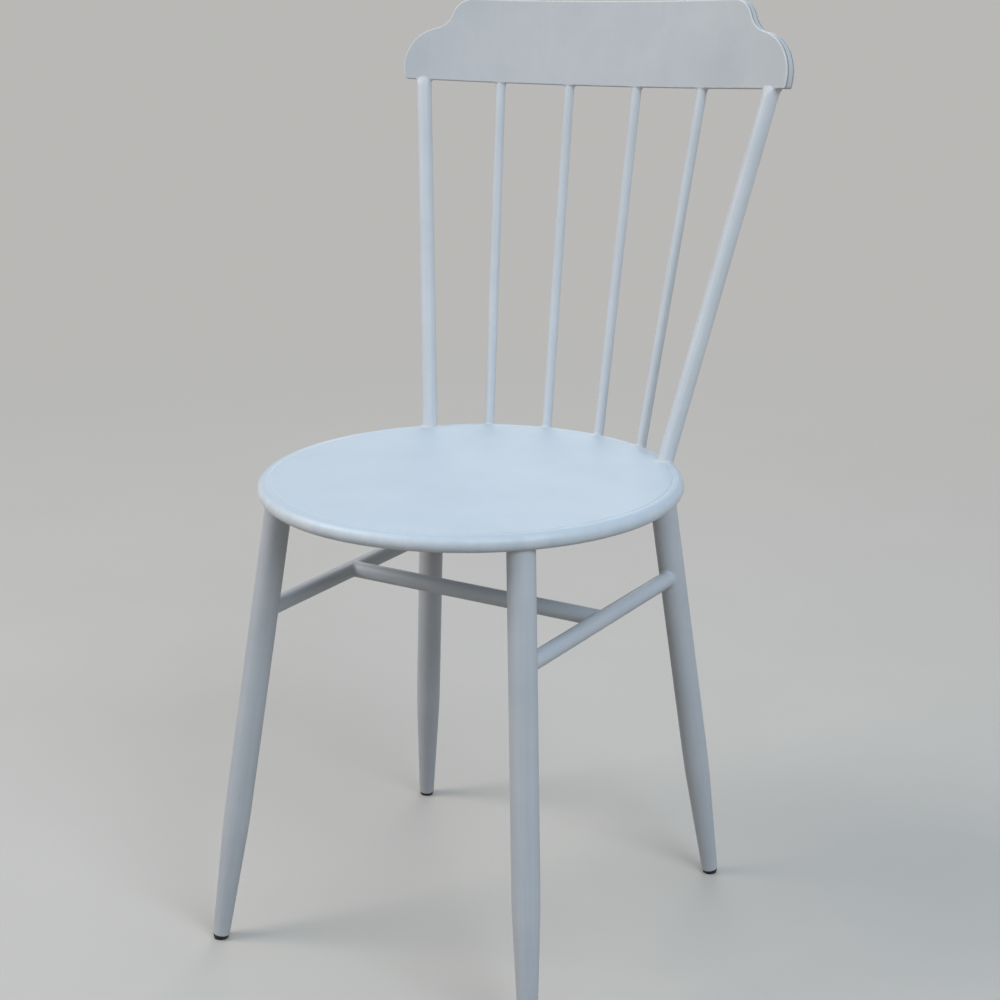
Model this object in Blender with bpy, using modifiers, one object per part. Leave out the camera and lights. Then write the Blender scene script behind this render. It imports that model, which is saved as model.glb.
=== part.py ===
# Metal dining chair: a round seat on four splayed legs, with a spindle back under a shaped crest.
# Units are metres and +Z is up. The sitter faces -Y, so +X is the sitter's left.
# The welded pieces stand apart by the small joint gap that their weld metal fills.

import math

import bmesh
import bpy
from mathutils import Vector

# Seat: a flat sheet let into a hoop of bent tube
SEAT_DIAMETER = 0.400
SEAT_HEIGHT = 0.450
RIM_TUBE_DIAMETER = 0.016
RIM_TUBE_WALL = 0.0015
RIM_VENT_DIAMETER = 0.004
SEAT_SHEET_THICKNESS = 0.0015
BRACE_THICKNESS = 0.005
BRACE_DEPTH = 0.012
BRACE_SPACING = 0.130

# Legs: tapered tubes, leaning out from the rim to the floor
LEG_DIAMETER = 0.0254
LEG_FOOT_DIAMETER = 0.0162
LEG_WALL = 0.0012
LEG_TAPER_HEIGHT = 0.128
LEG_END_ROUNDING = 0.001
FRONT_LEG_INSET = 0.0112
FRONT_LEG_ANGLE = 46.0
FRONT_LEG_SPLAY_OUT = 0.0443
FRONT_LEG_SPLAY_FORWARD = 0.0630
REAR_LEG_INSET = 0.0047
REAR_LEG_ANGLE = 44.8
REAR_LEG_SPLAY_OUT = 0.0466
REAR_LEG_SPLAY_BACK = 0.0454

# Foot glides: plastic plugs pushed into the leg ends
GLIDE_SHOWING = 0.0040
GLIDE_STEM_LENGTH = 0.016
GLIDE_STEM_CHAMFER = 0.0015
GLIDE_FLANGE_INSET = 0.0006
GLIDE_FLANGE_TAPER = 0.0012

# Stretchers: an H of round tube between the legs
STRETCHER_DIAMETER = 0.016
STRETCHER_WALL = 0.0012
STRETCHER_HEIGHT = 0.3305
CROSS_STRETCHER_SHARE = 0.497

# Back posts and spindles, fanning out from the rim to the crest
POST_DIAMETER = 0.016
POST_WALL = 0.0012
POST_ANGLE = 45.4
POST_END_INSET = 0.0208
POST_NOTCH_DEPTH = 0.003
SPINDLE_DIAMETER = 0.010
SPINDLE_OUTSET = 0.006
SPINDLE_STEP_ANGLE = 17.9
SPINDLE_CREST_PITCH = 0.0768

# Crest: two curved sheets closed by an edge band
CREST_RISE = 0.343
CREST_SETBACK = 0.0537
CREST_LEAN = 7.15
CREST_BEND_RADIUS = 0.617
CREST_HALF_LENGTH = 0.2205
CREST_HEIGHT = 0.0825
CREST_THICKNESS = 0.011
CREST_SHEET = 0.0015
CREST_BAND_WALL = 0.0015
CREST_LOBE_RADIUS = 0.041
CREST_LOBE_DROP = 0.0705
CREST_COVE_RADIUS = 0.025
CREST_SHOULDER_RADIUS = 0.0225
CREST_TOP_HALF_LENGTH = 0.149
CREST_CORNER_RADIUS = 0.002

# Clearances and mesh fineness
JOINT_GAP = 0.0003
CUT_PAST = 0.02
RIM_STEPS = 80
RIM_TUBE_STEPS = 14
LEG_STEPS = 24
POST_STEPS = 20
SPINDLE_STEPS = 16
CREST_STRIP = 0.022
ARC_STEP_ANGLE = 9.0
MERGE_DISTANCE = 0.00001
SHARP_ANGLE = 35.0

# Sizes that follow from the ones above
RIM_RADIUS = RIM_TUBE_DIAMETER / 2
RIM_CENTRE_RADIUS = SEAT_DIAMETER / 2 - RIM_RADIUS
RIM_CENTRE_HEIGHT = SEAT_HEIGHT - RIM_RADIUS
SEAT_UNDERSIDE = SEAT_HEIGHT - SEAT_SHEET_THICKNESS
LEG_RADIUS = LEG_DIAMETER / 2
FOOT_RADIUS = LEG_FOOT_DIAMETER / 2
LEAN = math.radians(CREST_LEAN)
CREST_BASE = Vector((0, SEAT_DIAMETER / 2 + CREST_SETBACK, SEAT_HEIGHT + CREST_RISE))
CREST_REAR_REACH = CREST_BASE.y + math.sin(LEAN) * CREST_HEIGHT + math.cos(LEAN) * CREST_THICKNESS / 2
BACK_SHIFT = (CREST_REAR_REACH - SEAT_DIAMETER / 2) / 2


def clear_scene():
    for obj in list(bpy.data.objects):
        bpy.data.objects.remove(obj, do_unlink=True)


def make_collection(name):
    collection = bpy.data.collections.new(name)
    bpy.context.scene.collection.children.link(collection)
    return collection


def make_material(name, colour, roughness, metallic):
    material = bpy.data.materials.new(name)
    material.use_nodes = True
    shader = material.node_tree.nodes["Principled BSDF"]
    shader.inputs["Base Color"].default_value = (*colour, 1)
    shader.inputs["Roughness"].default_value = roughness
    shader.inputs["Metallic"].default_value = metallic
    return material


clear_scene()
PARTS = make_collection("metal_chair")
CUTTERS = make_collection("cutters")
SEAT_CENTRE = bpy.data.objects.new("seat_centre_on_floor", None)
PARTS.objects.link(SEAT_CENTRE)
SEAT_CENTRE.location = (0, -BACK_SHIFT, 0)


def add_object(name, mesh, collection):
    obj = bpy.data.objects.new(name, mesh)
    collection.objects.link(obj)
    obj.parent = SEAT_CENTRE
    if collection == CUTTERS:
        obj.hide_render = True
        obj.display_type = "WIRE"
    return obj


def smooth(mesh):
    mesh.shade_smooth()
    mesh.set_sharp_from_angle(angle=math.radians(SHARP_ANGLE))


def realise(obj):
    """Turns the modified object into a plain mesh with its faces pointing out."""
    bpy.context.view_layer.update()
    graph = bpy.context.evaluated_depsgraph_get()
    mesh = bpy.data.meshes.new_from_object(obj.evaluated_get(graph))
    mesh.name = obj.name
    shape = bmesh.new()
    shape.from_mesh(mesh)
    bmesh.ops.recalc_face_normals(shape, faces=shape.faces[:])
    shape.to_mesh(mesh)
    shape.free()
    smooth(mesh)
    obj.modifiers.clear()
    obj.data = mesh
    return obj


def turned(name, profile, steps, collection, closed=False):
    """A profile of (radius, height) points, turned about the local Z axis."""
    mesh = bpy.data.meshes.new(name)
    edges = [(i, i + 1) for i in range(len(profile) - 1)]
    if closed:
        edges.append((len(profile) - 1, 0))
    mesh.from_pydata([(radius, 0, height) for radius, height in profile], edges, [])
    obj = add_object(name, mesh, collection)
    screw = obj.modifiers.new("turn", "SCREW")
    screw.steps = steps
    screw.render_steps = steps
    screw.use_merge_vertices = True
    screw.merge_threshold = MERGE_DISTANCE
    return realise(obj)


def aim(obj, start, end):
    obj.location = start
    obj.rotation_euler = (end - start).to_track_quat("Z", "Y").to_euler()
    return obj


def rod(name, start, end, radius, steps, collection):
    length = (end - start).length
    profile = [(0, length), (radius, length), (radius, 0), (0, 0)]
    return aim(turned(name, profile, steps, collection), start, end)


def tube(name, start, end, radius, wall, steps):
    length = (end - start).length
    bore = radius - wall
    profile = [(radius, length), (radius, 0), (bore, 0), (bore, length)]
    return aim(turned(name, profile, steps, PARTS, closed=True), start, end)


def cut(obj, cutters):
    for cutter in cutters:
        boolean = obj.modifiers.new(cutter.name, "BOOLEAN")
        boolean.operation = "DIFFERENCE"
        boolean.object = cutter
    return realise(obj)


def paint(obj, colour, roughness=0.45, metallic=0.0):
    obj.data.materials.clear()
    obj.data.materials.append(make_material(obj.name, colour, roughness, metallic))


def arc(centre_x, centre_y, radius, start_angle, end_angle):
    """Points along an arc, both ends included, with the angles in degrees."""
    count = max(2, math.ceil(abs(end_angle - start_angle) / ARC_STEP_ANGLE))
    points = []
    for i in range(count + 1):
        angle = math.radians(start_angle + (end_angle - start_angle) * i / count)
        points.append((centre_x + radius * math.cos(angle), centre_y + radius * math.sin(angle)))
    return points


# Cutters that hold the joint gap round the seat

def seat_clearance_from_below():
    """All that the legs and braces stay under: the sheet, the rim tube and the space above them."""
    clear = RIM_RADIUS + JOINT_GAP
    outside = SEAT_DIAMETER / 2 + LEG_DIAMETER
    profile = [(0, SEAT_HEIGHT + CUT_PAST), (outside, SEAT_HEIGHT + CUT_PAST)]
    profile.append((outside, RIM_CENTRE_HEIGHT))
    profile += arc(RIM_CENTRE_RADIUS, RIM_CENTRE_HEIGHT, clear, 0, -180)
    profile.append((RIM_CENTRE_RADIUS - clear, SEAT_UNDERSIDE - JOINT_GAP))
    profile.append((0, SEAT_UNDERSIDE - JOINT_GAP))
    return turned("seat_clearance_below", profile, RIM_STEPS, CUTTERS)


def seat_clearance_from_above():
    """All that the posts and spindles stand on: the top of the sheet and the outside of the rim."""
    clear = RIM_RADIUS + JOINT_GAP
    profile = [(0, SEAT_HEIGHT + JOINT_GAP)]
    profile += arc(RIM_CENTRE_RADIUS, RIM_CENTRE_HEIGHT, clear, 90, -90)
    profile.append((0, RIM_CENTRE_HEIGHT - clear))
    return turned("seat_clearance_above", profile, RIM_STEPS, CUTTERS)


# Seat pieces

def make_torus(name, minor_radius, minor_steps, collection):
    bpy.ops.mesh.primitive_torus_add(
        major_radius=RIM_CENTRE_RADIUS,
        minor_radius=minor_radius,
        major_segments=RIM_STEPS,
        minor_segments=minor_steps,
    )
    made = bpy.context.object
    mesh = made.data
    bpy.data.objects.remove(made)
    torus = add_object(name, mesh, collection)
    torus.location = (0, 0, RIM_CENTRE_HEIGHT)
    return torus


def make_rim():
    rim = make_torus("seat_rim_hoop", RIM_RADIUS, RIM_TUBE_STEPS, PARTS)
    bore = make_torus("rim_bore", RIM_RADIUS - RIM_TUBE_WALL, RIM_TUBE_STEPS // 2, CUTTERS)
    vent_foot = Vector((0, RIM_CENTRE_RADIUS, RIM_CENTRE_HEIGHT - RIM_TUBE_DIAMETER))
    vent_end = Vector((0, RIM_CENTRE_RADIUS, RIM_CENTRE_HEIGHT))
    vent = rod("rim_vent", vent_foot, vent_end, RIM_VENT_DIAMETER / 2, SPINDLE_STEPS, CUTTERS)
    return cut(rim, [bore, vent])


def make_seat_sheet():
    """The sheet's edge follows the inner shoulder of the rim tube."""
    clear = RIM_RADIUS + JOINT_GAP
    top_angle = 180 - math.degrees(math.asin(RIM_RADIUS / clear))
    low_angle = 180 - math.degrees(math.asin((RIM_RADIUS - SEAT_SHEET_THICKNESS) / clear))
    profile = [(0, SEAT_HEIGHT)]
    profile += arc(RIM_CENTRE_RADIUS, RIM_CENTRE_HEIGHT, clear, top_angle, low_angle)
    profile.append((0, SEAT_UNDERSIDE))
    return turned("seat_top_sheet", profile, RIM_STEPS, PARTS)


def make_brace(name, across, clearance):
    """A flat bar on edge under the sheet, from one side of the rim to the other."""
    reach = math.sqrt(RIM_CENTRE_RADIUS ** 2 - across ** 2)
    mesh = bpy.data.meshes.new(name)
    shape = bmesh.new()
    bmesh.ops.create_cube(shape, size=1)
    depth = BRACE_DEPTH + CUT_PAST
    bmesh.ops.scale(shape, vec=(2 * reach, BRACE_THICKNESS, depth), verts=shape.verts)
    shape.to_mesh(mesh)
    shape.free()
    brace = add_object(name, mesh, PARTS)
    brace.location = (0, across, SEAT_UNDERSIDE - BRACE_DEPTH + depth / 2)
    return cut(brace, [clearance])


# Legs, glides and stretchers

def leg_points(side, front):
    """The leg axis, from the floor to the height of the rim's underside."""
    inset = FRONT_LEG_INSET if front else REAR_LEG_INSET
    angle = math.radians(FRONT_LEG_ANGLE if front else REAR_LEG_ANGLE)
    out = FRONT_LEG_SPLAY_OUT if front else REAR_LEG_SPLAY_OUT
    along = -FRONT_LEG_SPLAY_FORWARD if front else REAR_LEG_SPLAY_BACK
    radius = RIM_CENTRE_RADIUS - inset
    facing = -1 if front else 1
    top = Vector((
        side * radius * math.sin(angle),
        facing * radius * math.cos(angle),
        SEAT_HEIGHT - RIM_TUBE_DIAMETER,
    ))
    foot = Vector((top.x + side * out, top.y + along, 0))
    return foot, top


def make_leg(name, foot, top, clearance):
    length = (top - foot).length + RIM_TUBE_DIAMETER
    bore = LEG_RADIUS - LEG_WALL
    foot_bore = FOOT_RADIUS - LEG_WALL
    profile = [
        (LEG_RADIUS, length),
        (LEG_RADIUS, LEG_TAPER_HEIGHT),
        (FOOT_RADIUS, GLIDE_SHOWING + LEG_END_ROUNDING),
        (FOOT_RADIUS - LEG_END_ROUNDING, GLIDE_SHOWING),
        (foot_bore, GLIDE_SHOWING),
        (bore, LEG_TAPER_HEIGHT),
        (bore, length),
    ]
    leg = aim(turned(name, profile, LEG_STEPS, PARTS, closed=True), foot, top)
    return cut(leg, [clearance])


def make_floor_cutter():
    mesh = bpy.data.meshes.new("floor")
    shape = bmesh.new()
    bmesh.ops.create_cube(shape, size=SEAT_DIAMETER * 2)
    shape.to_mesh(mesh)
    shape.free()
    floor = add_object("floor_below_feet", mesh, CUTTERS)
    floor.location = (0, 0, -SEAT_DIAMETER)
    return floor


def make_glide(name, foot, top, floor):
    """A stem inside the leg bore and a flange below it, moulded flat where it meets the floor."""
    flange = FOOT_RADIUS - GLIDE_FLANGE_INSET
    stem = FOOT_RADIUS - LEG_WALL - JOINT_GAP
    stem_top = GLIDE_SHOWING + GLIDE_STEM_LENGTH
    profile = [
        (0, stem_top),
        (stem - GLIDE_STEM_CHAMFER, stem_top),
        (stem, stem_top - GLIDE_STEM_CHAMFER),
        (stem, GLIDE_SHOWING - JOINT_GAP),
        (flange, GLIDE_SHOWING - JOINT_GAP),
        (flange, GLIDE_SHOWING / 2),
        (flange - GLIDE_FLANGE_TAPER, 0),
        (flange - GLIDE_FLANGE_TAPER, -GLIDE_SHOWING),
        (0, -GLIDE_SHOWING),
    ]
    glide = aim(turned(name, profile, LEG_STEPS, PARTS), foot, top)
    return cut(glide, [floor])


def point_at_height(start, end, height):
    return start + (end - start) * ((height - start.z) / (end.z - start.z))


def make_stretcher(name, start, end, cutters):
    stretcher = tube(name, start, end, STRETCHER_DIAMETER / 2, STRETCHER_WALL, POST_STEPS)
    return cut(stretcher, cutters)


# Crest

def crest_point(along, up, back):
    """A place on the bent crest, in its own frame: along its length, up it, and back from mid-thickness."""
    turn = along / CREST_BEND_RADIUS
    radius = CREST_BEND_RADIUS + back
    return Vector((radius * math.sin(turn), radius * math.cos(turn) - CREST_BEND_RADIUS, up))


def crest_outline(grow):
    """Half the crest's outline, grown by a margin: corner, end lobe, cove, shoulder and top."""
    lobe_radius = CREST_LOBE_RADIUS + grow
    cove_radius = CREST_COVE_RADIUS - grow
    shoulder_radius = CREST_SHOULDER_RADIUS + grow
    lobe_x = CREST_HALF_LENGTH - CREST_LOBE_RADIUS
    lobe_y = CREST_HEIGHT - CREST_LOBE_DROP
    shoulder_x = CREST_TOP_HALF_LENGTH
    shoulder_y = CREST_HEIGHT - CREST_SHOULDER_RADIUS
    # The cove's centre lies where it touches both the lobe and the shoulder.
    to_lobe = CREST_LOBE_RADIUS + CREST_COVE_RADIUS
    to_shoulder = CREST_SHOULDER_RADIUS + CREST_COVE_RADIUS
    between = math.hypot(shoulder_x - lobe_x, shoulder_y - lobe_y)
    along = (to_lobe ** 2 - to_shoulder ** 2 + between ** 2) / (2 * between)
    away = math.sqrt(to_lobe ** 2 - along ** 2)
    step_x = (shoulder_x - lobe_x) / between
    step_y = (shoulder_y - lobe_y) / between
    cove_x = lobe_x + along * step_x + away * step_y
    cove_y = lobe_y + along * step_y - away * step_x
    lobe_end = math.degrees(math.atan2(cove_y - lobe_y, cove_x - lobe_x))
    cove_end = math.degrees(math.atan2(shoulder_y - cove_y, shoulder_x - cove_x)) % 360
    lobe_start = -math.degrees(math.asin((lobe_y + grow - CREST_CORNER_RADIUS) / lobe_radius))
    points = [(0, -grow)]
    corner_x = lobe_x + lobe_radius * math.cos(math.radians(lobe_start))
    points.append((corner_x - CREST_CORNER_RADIUS, -grow))
    points += arc(lobe_x, lobe_y, lobe_radius, lobe_start, lobe_end)
    points += arc(cove_x, cove_y, cove_radius, lobe_end + 180, cove_end)[1:]
    points += arc(shoulder_x, shoulder_y, shoulder_radius, cove_end - 180, 90)[1:]
    points.append((0, CREST_HEIGHT + grow))
    return points


def whole_outline(grow):
    half = crest_outline(grow)
    return half + [(-x, y) for x, y in reversed(half[1:-1])]


def place_on_crest(obj):
    obj.location = CREST_BASE
    obj.rotation_euler = (-LEAN, 0, 0)
    return obj


def thicken(obj, thickness):
    solidify = obj.modifiers.new("thickness", "SOLIDIFY")
    solidify.thickness = thickness
    solidify.offset = 0
    solidify.use_even_offset = True
    return realise(obj)


def make_crest_sheet(name, grow, back, thickness, collection):
    """A flat outline cut into strips, bent about the vertical and given its thickness."""
    shape = bmesh.new()
    outline = [shape.verts.new((x, 0, y)) for x, y in whole_outline(grow)]
    shape.faces.new(outline)
    strips = math.floor(CREST_HALF_LENGTH / CREST_STRIP)
    for i in range(-strips, strips + 1):
        everything = shape.verts[:] + shape.edges[:] + shape.faces[:]
        bmesh.ops.bisect_plane(
            shape, geom=everything, plane_co=(i * CREST_STRIP, 0, 0), plane_no=(1, 0, 0), dist=MERGE_DISTANCE
        )
    for vert in shape.verts:
        vert.co = crest_point(vert.co.x, vert.co.z, back)
    mesh = bpy.data.meshes.new(name)
    shape.to_mesh(mesh)
    shape.free()
    return thicken(place_on_crest(add_object(name, mesh, collection)), thickness)


def make_crest_band():
    """A strip between the two sheets, bent round the whole outline."""
    half_depth = CREST_THICKNESS / 2 - CREST_SHEET - JOINT_GAP
    corners = whole_outline(-CREST_BAND_WALL / 2)
    shape = bmesh.new()
    front = []
    rear = []
    for i, (x, y) in enumerate(corners):
        next_x, next_y = corners[(i + 1) % len(corners)]
        pieces = max(1, round(math.hypot(next_x - x, next_y - y) / CREST_STRIP))
        for j in range(pieces):
            along = x + (next_x - x) * j / pieces
            up = y + (next_y - y) * j / pieces
            front.append(shape.verts.new(crest_point(along, up, -half_depth)))
            rear.append(shape.verts.new(crest_point(along, up, half_depth)))
    for i in range(len(front)):
        j = (i + 1) % len(front)
        shape.faces.new((front[i], front[j], rear[j], rear[i]))
    mesh = bpy.data.meshes.new("crest_edge_band")
    shape.to_mesh(mesh)
    shape.free()
    return thicken(place_on_crest(add_object("crest_edge_band", mesh, PARTS)), CREST_BAND_WALL)


def on_crest(along, up):
    """A place at mid-thickness of the crest, in the chair's frame."""
    local = crest_point(along, up, 0)
    tilted = Vector((
        local.x,
        local.y * math.cos(LEAN) + local.z * math.sin(LEAN),
        -local.y * math.sin(LEAN) + local.z * math.cos(LEAN),
    ))
    return CREST_BASE + tilted


def on_rim(radius, angle, side):
    turn = math.radians(angle)
    return Vector((side * radius * math.sin(turn), radius * math.cos(turn), SEAT_HEIGHT))


# Back posts and spindles

def make_post(name, side, seat, crest):
    base = on_rim(RIM_CENTRE_RADIUS, POST_ANGLE, side)
    top = on_crest(side * (CREST_HALF_LENGTH - POST_END_INSET), POST_NOTCH_DEPTH)
    start = base - (top - base).normalized() * RIM_RADIUS
    post = tube(name, start, top, POST_DIAMETER / 2, POST_WALL, POST_STEPS)
    return cut(post, [seat, crest])


def make_spindle(name, side, count, seat, crest):
    """Counted from the middle of the back: 0 is the inner spindle and 1 the outer one."""
    base = on_rim(RIM_CENTRE_RADIUS + SPINDLE_OUTSET, SPINDLE_STEP_ANGLE * (count + 0.5), side)
    top = on_crest(side * SPINDLE_CREST_PITCH * (count + 0.5), CREST_SHEET)
    start = base - (top - base).normalized() * RIM_RADIUS
    spindle = rod(name, start, top, SPINDLE_DIAMETER / 2, SPINDLE_STEPS, PARTS)
    return cut(spindle, [seat, crest])


# The chair

PAINT = (0.70, 0.73, 0.75)
PLASTIC = (0.02, 0.02, 0.02)
SIDES = {"right": -1, "left": 1}


def make_legs_and_stretchers(below):
    painted = []
    plastic = []
    joints = {}
    floor = make_floor_cutter()
    for side_name, side in SIDES.items():
        leg_cutters = []
        for end_name in ("front", "rear"):
            foot, top = leg_points(side, end_name == "front")
            place = f"{end_name}_{side_name}"
            painted.append(make_leg(f"leg_{place}", foot, top, below))
            plastic.append(make_glide(f"foot_glide_{place}", foot, top, floor))
            leg_cutters.append(rod(f"leg_gap_{place}", foot, top, LEG_RADIUS + JOINT_GAP, LEG_STEPS, CUTTERS))
            joints[place] = point_at_height(foot, top, STRETCHER_HEIGHT)
        front = joints[f"front_{side_name}"]
        rear = joints[f"rear_{side_name}"]
        painted.append(make_stretcher(f"side_stretcher_{side_name}", front, rear, leg_cutters))
        joints[side_name] = front + (rear - front) * CROSS_STRETCHER_SHARE
        clear = STRETCHER_DIAMETER / 2 + JOINT_GAP
        joints[f"gap_{side_name}"] = rod(f"stretcher_gap_{side_name}", front, rear, clear, POST_STEPS, CUTTERS)
    gaps = [joints["gap_right"], joints["gap_left"]]
    painted.append(make_stretcher("cross_stretcher", joints["right"], joints["left"], gaps))
    return painted, plastic


def make_back(above):
    depth = CREST_THICKNESS / 2 - CREST_SHEET / 2
    gap = make_crest_sheet("crest_gap", JOINT_GAP, 0, CREST_THICKNESS + 2 * JOINT_GAP, CUTTERS)
    made = [
        make_crest_sheet("crest_front_sheet", 0, -depth, CREST_SHEET, PARTS),
        make_crest_sheet("crest_rear_sheet", 0, depth, CREST_SHEET, PARTS),
        make_crest_band(),
    ]
    for side_name, side in SIDES.items():
        made.append(make_post(f"back_post_{side_name}", side, above, gap))
        made.append(make_spindle(f"spindle_inner_{side_name}", side, 0, above, gap))
        made.append(make_spindle(f"spindle_outer_{side_name}", side, 1, above, gap))
    return made


def main():
    below = seat_clearance_from_below()
    above = seat_clearance_from_above()
    painted = [make_rim(), make_seat_sheet()]
    painted.append(make_brace("seat_brace_front", -BRACE_SPACING / 2, below))
    painted.append(make_brace("seat_brace_rear", BRACE_SPACING / 2, below))
    legs, plastic = make_legs_and_stretchers(below)
    painted += legs + make_back(above)
    for piece in painted:
        paint(piece, PAINT)
    for piece in plastic:
        paint(piece, PLASTIC, roughness=0.6)


main()
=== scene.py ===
import math

import bmesh
import bpy
from mathutils import Matrix, Vector


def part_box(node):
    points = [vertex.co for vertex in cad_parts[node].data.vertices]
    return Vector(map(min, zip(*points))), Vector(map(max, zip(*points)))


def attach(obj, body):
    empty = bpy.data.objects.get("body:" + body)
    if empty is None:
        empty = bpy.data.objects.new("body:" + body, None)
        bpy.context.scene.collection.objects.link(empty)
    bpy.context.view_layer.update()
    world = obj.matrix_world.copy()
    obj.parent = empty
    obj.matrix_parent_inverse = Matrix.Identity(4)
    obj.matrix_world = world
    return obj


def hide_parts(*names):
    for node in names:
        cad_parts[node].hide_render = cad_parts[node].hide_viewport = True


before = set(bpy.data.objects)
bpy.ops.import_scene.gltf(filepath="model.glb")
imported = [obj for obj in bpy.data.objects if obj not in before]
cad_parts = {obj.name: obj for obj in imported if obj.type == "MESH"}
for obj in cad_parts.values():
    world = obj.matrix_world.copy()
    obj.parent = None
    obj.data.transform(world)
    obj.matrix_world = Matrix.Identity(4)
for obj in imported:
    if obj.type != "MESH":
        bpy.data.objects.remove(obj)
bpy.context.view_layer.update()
print("frame loaded:", len(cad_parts), "nodes")

# Everything is worked out round the middle of the seat, then moved back into the chair's own frame
rimLow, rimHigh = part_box("seat_rim_hoop")
seatPlace = Matrix.Translation((0, (rimLow.y + rimHigh.y) / 2, 0))

axisLimit = 1e-7  # a ring with a smaller radius is one point on the axis


# Small helpers for meshes

def addObject(name, data):
    obj = bpy.data.objects.new(name, data)
    bpy.context.scene.collection.objects.link(obj)
    return obj


def addPiece(name, verts, faces, place, material, stands, rub_and_highlight=None, shade=None, sharp=40):
    # the mesh lies in the chair's frame; "grain" keeps each point's place along its own piece, for the textures
    mesh = bpy.data.meshes.new(name)
    mesh.from_pydata([tuple(seatPlace @ place @ v) for v in verts], [], faces)
    shape = bmesh.new()
    shape.from_mesh(mesh)
    bmesh.ops.recalc_face_normals(shape, faces=shape.faces[:])
    shape.to_mesh(mesh)
    shape.free()
    grain = mesh.attributes.new("grain", "FLOAT_VECTOR", "POINT")
    for i, v in enumerate(verts):
        grain.data[i].vector = v
    # rub_and_highlight marks pale worn paint that also serves as painted highlight; shade marks painted shade in
    # seams and at joints
    for attributeName, values in (("rub_and_highlight", rub_and_highlight), ("shade", shade)):
        attribute = mesh.attributes.new(attributeName, "FLOAT", "POINT")
        for i, value in enumerate(values or []):
            attribute.data[i].value = value
    mesh.shade_smooth()
    mesh.set_sharp_from_angle(angle=math.radians(sharp))
    mesh.materials.append(material)
    obj = addObject(name, mesh)
    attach(obj, "root")
    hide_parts(*stands)
    return obj


def clamp(value):
    return max(0, min(1, value))


def arcPoints(x, y, radius, start, end, stepAngle=3.0):
    count = max(2, math.ceil(abs(end - start) / stepAngle))
    angles = [math.radians(start + (end - start) * i / count) for i in range(count + 1)]
    return [(x + radius * math.cos(a), y + radius * math.sin(a)) for a in angles]


def circlePoints(radius, height, steps):
    turns = [2 * math.pi * j / steps for j in range(steps)]
    return [Vector((radius * math.cos(turn), radius * math.sin(turn), height)) for turn in turns]


def ringFaces(first, second, count):
    return [(first + j, first + (j + 1) % count, second + (j + 1) % count, second + j) for j in range(count)]


def ringSize(radius, steps):
    return 1 if radius < axisLimit else steps


def ringValues(profile, steps, values):
    # one value for each vertex of a turned mesh, from one for each of its rings
    spread = []
    for (radius, _), value in zip(profile, values):
        spread += [value] * ringSize(radius, steps)
    return spread


def turnedMesh(profile, steps, closed=False):
    # profile is (radius, height) from one end to the other
    verts = []
    rings = []
    for radius, height in profile:
        count = ringSize(radius, steps)
        rings.append((len(verts), count))
        verts += circlePoints(radius, height, count)
    faces = []
    following = rings[1:] + rings[:1] if closed else rings[1:]
    for (a, countA), (b, countB) in zip(rings, following):
        if countA == 1:
            faces += [(a, b + j, b + (j + 1) % steps) for j in range(steps)]
        elif countB == 1:
            faces += [(b, a + j, a + (j + 1) % steps) for j in range(steps)]
        else:
            faces += ringFaces(a, b, steps)
    return verts, faces


def cutShape(shape, point, normal, **options):
    everything = shape.verts[:] + shape.edges[:] + shape.faces[:]
    return bmesh.ops.bisect_plane(shape, geom=everything, plane_co=point, plane_no=normal, **options)


def takeMesh(shape):
    shape.verts.index_update()
    verts = [v.co.copy() for v in shape.verts]
    faces = [tuple(v.index for v in face.verts) for face in shape.faces]
    shape.free()
    return verts, faces


# Small helpers for nodes

def setInputs(node, values):
    for socketName, value in values.items():
        node.inputs[socketName].default_value = value


def newMaterial(name):
    material = bpy.data.materials.new(name)
    material.use_nodes = True
    return material, material.node_tree, material.node_tree.nodes["Principled BSDF"]


def newGroup(name, inputs, outputs):
    tree = bpy.data.node_groups.new(name, "ShaderNodeTree")
    for socketName, kind, value in inputs:
        socket = tree.interface.new_socket(name=socketName, in_out="INPUT", socket_type=kind)
        if value is not None:
            socket.default_value = value
    for socketName, kind in outputs:
        tree.interface.new_socket(name=socketName, in_out="OUTPUT", socket_type=kind)
    return tree, tree.nodes.new("NodeGroupInput").outputs, tree.nodes.new("NodeGroupOutput").inputs


def rangeNode(tree, value, low, high, toLow=0.0, toHigh=1.0):
    node = tree.nodes.new("ShaderNodeMapRange")
    tree.links.new(value, node.inputs["Value"])
    setInputs(node, {"From Min": low, "From Max": high, "To Min": toLow, "To Max": toHigh})
    return node.outputs["Result"]


def mathNode(tree, operation, a, b):
    node = tree.nodes.new("ShaderNodeMath")
    node.operation = operation
    for i, value in enumerate((a, b)):
        if isinstance(value, (int, float)):
            node.inputs[i].default_value = value
        else:
            tree.links.new(value, node.inputs[i])
    return node.outputs[0]


def addShare(tree, total, layer, share):
    return mathNode(tree, "ADD", total, mathNode(tree, "MULTIPLY", layer, share))


def mixNode(tree, factor, a, b):
    node = tree.nodes.new("ShaderNodeMix")
    node.data_type = "RGBA"
    tree.links.new(factor, node.inputs[0])
    for i, colour in ((6, a), (7, b)):  # the sockets for colours
        if isinstance(colour, tuple):
            node.inputs[i].default_value = (*colour, 1)
        else:
            tree.links.new(colour, node.inputs[i])
    return node.outputs[2]


def noiseLayer(tree, place, layer):
    # a layer has a scale, or a stretch for each axis, and may fade in over a span of its noise
    if "stretch" in layer:
        mapping = tree.nodes.new("ShaderNodeMapping")
        mapping.inputs["Scale"].default_value = layer["stretch"]
        tree.links.new(place, mapping.inputs["Vector"])
        place = mapping.outputs["Vector"]
    node = tree.nodes.new("ShaderNodeTexNoise")
    tree.links.new(place, node.inputs["Vector"])
    setInputs(node, {"Scale": layer.get("scale", 1), "Detail": layer["detail"], "Roughness": layer["roughness"]})
    return rangeNode(tree, node.outputs[0], *layer["fade"]) if "fade" in layer else node.outputs[0]


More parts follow.
